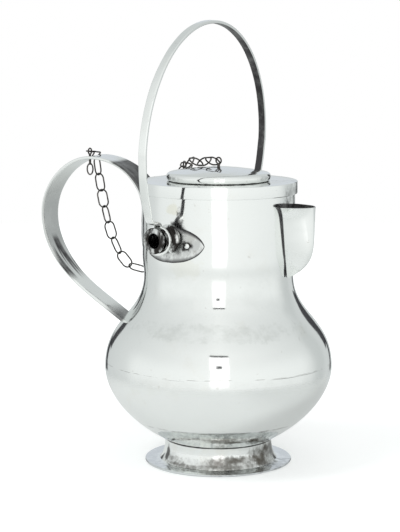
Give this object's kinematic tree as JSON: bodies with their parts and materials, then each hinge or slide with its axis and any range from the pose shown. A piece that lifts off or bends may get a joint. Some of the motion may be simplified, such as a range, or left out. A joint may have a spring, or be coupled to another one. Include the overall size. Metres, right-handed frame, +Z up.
{
  "type": "lidded jug",
  "caption": "Tall-necked silver jug with a round body, ring foot, side spout, strap handle, swinging bail on two lugs, and a slip-on lid held by a chain.",
  "frame": {"origin": "on the surface that the jug stands on, under the middle of its length from the strap handle to the bulb", "axes": "+Z up along the jug's axis, +X from the strap handle towards the spout, +Y along the bail's pivot line"},
  "size_m": [0.2452, 0.2, 0.3436],
  "materials": {
    "silver": "polished silver, hand hammered, with fine scratches and a little brown tarnish at the foot",
    "dark_silver": "darkened silver wire, worn bright on its outer faces"
  },
  "bodies": {
    "jug": {"body_lower": "silver", "body_upper": "silver", "foot_ring": "silver", "spout": "silver", "side_handle": "silver", "handle_pin": "dark_silver", "chain_hook_link": "dark_silver", "lug_plate_near": "silver", "lug_plate_far": "silver", "lug_boss_near": "silver", "lug_boss_far": "silver", "lug_rivet_near_back": "silver", "lug_rivet_near_front": "silver", "lug_rivet_far_back": "silver", "lug_rivet_far_front": "silver", "handle_rivet": "silver"},
    "bail": {"bail_hoop": "silver"},
    "lid_pin_and_chain": {"lid_pin": "dark_silver", "lid_link_1": "dark_silver", "lid_link_2": "dark_silver", "lid_link_3": "dark_silver", "lid_link_4": "dark_silver", "lid_link_5": "dark_silver", "lid_link_6": "dark_silver"},
    "lid": {"lid_cap": "silver", "lid_disc": "silver"},
    "link_01": {"chain_link_01": "dark_silver"},
    "link_02": {"chain_link_02": "dark_silver"},
    "link_03": {"chain_link_03": "dark_silver"},
    "link_04": {"chain_link_04": "dark_silver"},
    "link_05": {"chain_link_05": "dark_silver"},
    "link_06": {"chain_link_06": "dark_silver"},
    "link_07": {"chain_link_07": "dark_silver"},
    "link_08": {"chain_link_08": "dark_silver"},
    "link_15": {"chain_link_15": "dark_silver"},
    "link_14": {"chain_link_14": "dark_silver"},
    "link_13": {"chain_link_13": "dark_silver"},
    "link_12": {"chain_link_12": "dark_silver"},
    "link_11": {"chain_link_11": "dark_silver"},
    "link_10": {"chain_link_10": "dark_silver"},
    "link_09": {"chain_link_09": "dark_silver"}
  },
  "joints": [
    {"name": "bail_swing", "type": "hinge", "parent": "jug", "child": "bail", "pos_m": [0.01943, 0, 0.1809], "axis": [0, 1, 0], "range_deg": [-150, 130]},
    {"name": "lid_lift", "type": "slide", "parent": "jug", "child": "lid_pin_and_chain", "axis": [0, 0, 1], "range_m": [0, 0.025]},
    {"name": "lid_turn", "type": "hinge", "parent": "lid_pin_and_chain", "child": "lid", "pos_m": [0.03383, 0, 0.2207], "axis": [0, 0, 1], "continuous": true},
    {"name": "link_01_swing", "type": "hinge", "parent": "jug", "child": "link_01", "pos_m": [-0.08758, 0.0179, 0.2323], "axis": [0.3117, -0.9502, 0], "range_deg": [-0.2, 1.37]},
    {"name": "link_02_swing", "type": "hinge", "parent": "link_01", "child": "link_02", "pos_m": [-0.08585, 0.01847, 0.21904], "axis": [0.3117, -0.9502, 0], "range_deg": [-0.2, 0.63]},
    {"name": "link_03_swing", "type": "hinge", "parent": "link_02", "child": "link_03", "pos_m": [-0.08385, 0.01912, 0.20583], "axis": [0.3117, -0.9502, 0], "range_deg": [-0.2, 0.91]},
    {"name": "link_04_swing", "type": "hinge", "parent": "link_03", "child": "link_04", "pos_m": [-0.08149, 0.0199, 0.19268], "axis": [0.3117, -0.9502, 0], "range_deg": [-0.2, 1.51]},
    {"name": "link_05_swing", "type": "hinge", "parent": "link_04", "child": "link_05", "pos_m": [-0.07859, 0.02085, 0.17966], "axis": [0.3117, -0.9502, 0], "range_deg": [-0.2, 2.99]},
    {"name": "link_06_swing", "type": "hinge", "parent": "link_05", "child": "link_06", "pos_m": [-0.07486, 0.02207, 0.16686], "axis": [0.3117, -0.9502, 0], "range_deg": [-0.2, 7.46]},
    {"name": "link_07_swing", "type": "hinge", "parent": "link_06", "child": "link_07", "pos_m": [-0.06971, 0.02376, 0.15463], "axis": [0.3117, -0.9502, 0], "range_deg": [-0.2, 21.48]},
    {"name": "link_08_swing", "type": "hinge", "parent": "link_07", "child": "link_08", "pos_m": [-0.06174, 0.02637, 0.14421], "axis": [0.3117, -0.9502, 0], "range_deg": [-0.2, 13.99]},
    {"name": "link_15_swing", "type": "hinge", "parent": "lid_pin_and_chain", "child": "link_15", "pos_m": [-0.019, 0.04039, 0.2261], "axis": [0.3117, -0.9502, 0], "range_deg": [-0.2, 1.19]},
    {"name": "link_14_swing", "type": "hinge", "parent": "link_15", "child": "link_14", "pos_m": [-0.02084, 0.03979, 0.21286], "axis": [0.3117, -0.9502, 0], "range_deg": [-0.2, 0.54]},
    {"name": "link_13_swing", "type": "hinge", "parent": "link_14", "child": "link_13", "pos_m": [-0.023, 0.03908, 0.19967], "axis": [0.3117, -0.9502, 0], "range_deg": [-0.2, 0.74]},
    {"name": "link_12_swing", "type": "hinge", "parent": "link_13", "child": "link_12", "pos_m": [-0.02558, 0.03823, 0.18657], "axis": [0.3117, -0.9502, 0], "range_deg": [-0.2, 1.15]},
    {"name": "link_11_swing", "type": "hinge", "parent": "link_12", "child": "link_11", "pos_m": [-0.02882, 0.03717, 0.17363], "axis": [0.3117, -0.9502, 0], "range_deg": [-0.2, 2.08]},
    {"name": "link_10_swing", "type": "hinge", "parent": "link_11", "child": "link_10", "pos_m": [-0.0331, 0.03577, 0.16104], "axis": [0.3117, -0.9502, 0], "range_deg": [-0.2, 4.63]},
    {"name": "link_09_swing", "type": "hinge", "parent": "link_10", "child": "link_09", "pos_m": [-0.03931, 0.03373, 0.14936], "axis": [0.3117, -0.9502, 0], "range_deg": [-0.2, 13.13]}
  ],
  "couplings": [
    {"joint": "link_01_swing", "follows": "lid_lift", "rad_per_m": 0.8199},
    {"joint": "link_02_swing", "follows": "lid_lift", "rad_per_m": 0.2992},
    {"joint": "link_03_swing", "follows": "lid_lift", "rad_per_m": 0.4977},
    {"joint": "link_04_swing", "follows": "lid_lift", "rad_per_m": 0.9153},
    {"joint": "link_05_swing", "follows": "lid_lift", "rad_per_m": 1.9445},
    {"joint": "link_06_swing", "follows": "lid_lift", "rad_per_m": 5.0695},
    {"joint": "link_07_swing", "follows": "lid_lift", "rad_per_m": 14.854},
    {"joint": "link_08_swing", "follows": "lid_lift", "rad_per_m": 9.6293},
    {"joint": "link_15_swing", "follows": "lid_lift", "rad_per_m": 0.6887},
    {"joint": "link_14_swing", "follows": "lid_lift", "rad_per_m": 0.2365},
    {"joint": "link_13_swing", "follows": "lid_lift", "rad_per_m": 0.3799},
    {"joint": "link_12_swing", "follows": "lid_lift", "rad_per_m": 0.665},
    {"joint": "link_11_swing", "follows": "lid_lift", "rad_per_m": 1.3136},
    {"joint": "link_10_swing", "follows": "lid_lift", "rad_per_m": 3.0922},
    {"joint": "link_09_swing", "follows": "lid_lift", "rad_per_m": 9.0251}
  ]
}
